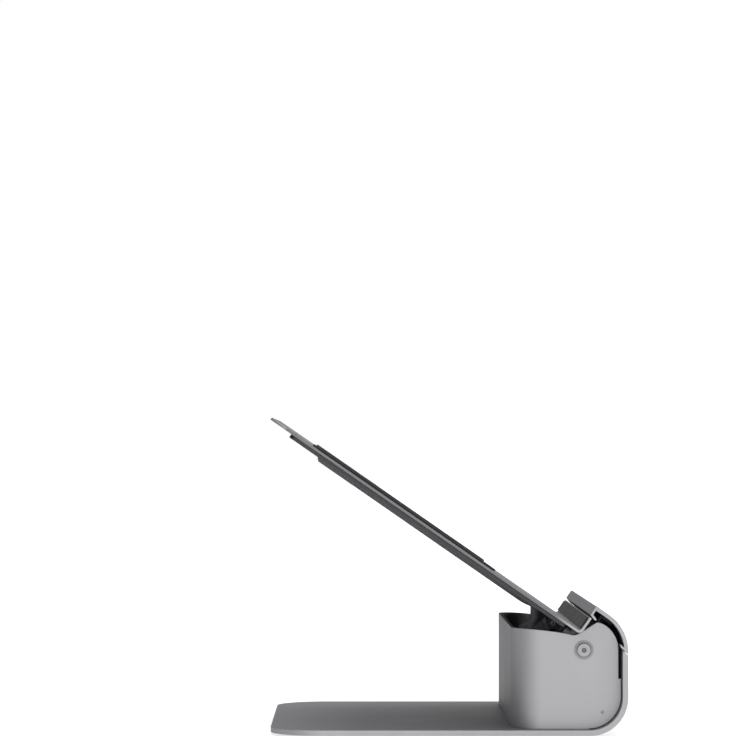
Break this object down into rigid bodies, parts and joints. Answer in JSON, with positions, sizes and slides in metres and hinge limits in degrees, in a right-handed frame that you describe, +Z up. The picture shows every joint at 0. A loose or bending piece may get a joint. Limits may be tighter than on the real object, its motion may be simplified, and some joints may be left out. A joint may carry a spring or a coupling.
{
  "type": "adjustable laptop stand",
  "caption": "Aluminium laptop stand with a bent base, a bucket housing and a tilting tray with a front lip, raised and lowered by a sliding knob.",
  "frame": {"origin": "on the surface that the feet stand on, under the middle of the whole stand", "axes": "+X to the right of a person at the front, +Y from the front panel to the rear, +Z up"},
  "size_m": [0.24, 0.231, 0.2002],
  "materials": {
    "aluminium": "bead blasted, anodised silver grey",
    "dark_aluminium": "anodised dark grey",
    "steel": "zinc plated",
    "rod_steel": "ground",
    "black_plastic": "moulded, fine grain",
    "black_rubber": "matt"
  },
  "bodies": {
    "base": {"base_panel": "aluminium", "housing": "aluminium", "rubber_feet": "black_rubber", "housing_screws": "steel", "chassis": "dark_aluminium", "chassis_screws": "steel", "guide_rod_front": "rod_steel", "guide_rod_rear": "rod_steel", "rod_clips": "steel", "slot_liner": "black_plastic", "hinge_screw_left": "steel", "hinge_screw_right": "steel", "hinge_washer_left": "aluminium", "hinge_washer_right": "aluminium", "hinge_nut_left": "steel", "hinge_nut_right": "steel"},
    "tray": {"tray_panel": "aluminium", "front_cover": "aluminium", "cover_rail": "dark_aluminium", "rail_rivets": "steel", "tray_bracket": "dark_aluminium", "tray_rivets": "steel", "cross_shaft": "steel", "lever_arm": "dark_aluminium", "follower_pin": "steel", "hinge_bush_left": "black_plastic", "hinge_bush_right": "black_plastic", "lip_strip": "black_rubber", "tray_pad_left": "black_rubber", "tray_pad_right": "black_rubber"},
    "slider": {"slider_carriage": "black_plastic", "rod_bushes": "steel", "slider_knob": "aluminium", "knob_set_screw": "steel"}
  },
  "joints": [
    {"name": "tray_tilt", "type": "hinge", "parent": "base", "child": "tray", "pos_m": [0, -0.08145, 0.0545], "axis": [1, 0, 0], "range_deg": [-12, 0]},
    {"name": "slider_slide", "type": "slide", "parent": "base", "child": "slider", "axis": [1, 0, 0], "range_m": [-0.08, 0]}
  ],
  "couplings": [
    {"joint": "slider_slide", "follows": "tray_tilt", "m_per_rad": 0.3819}
  ]
}
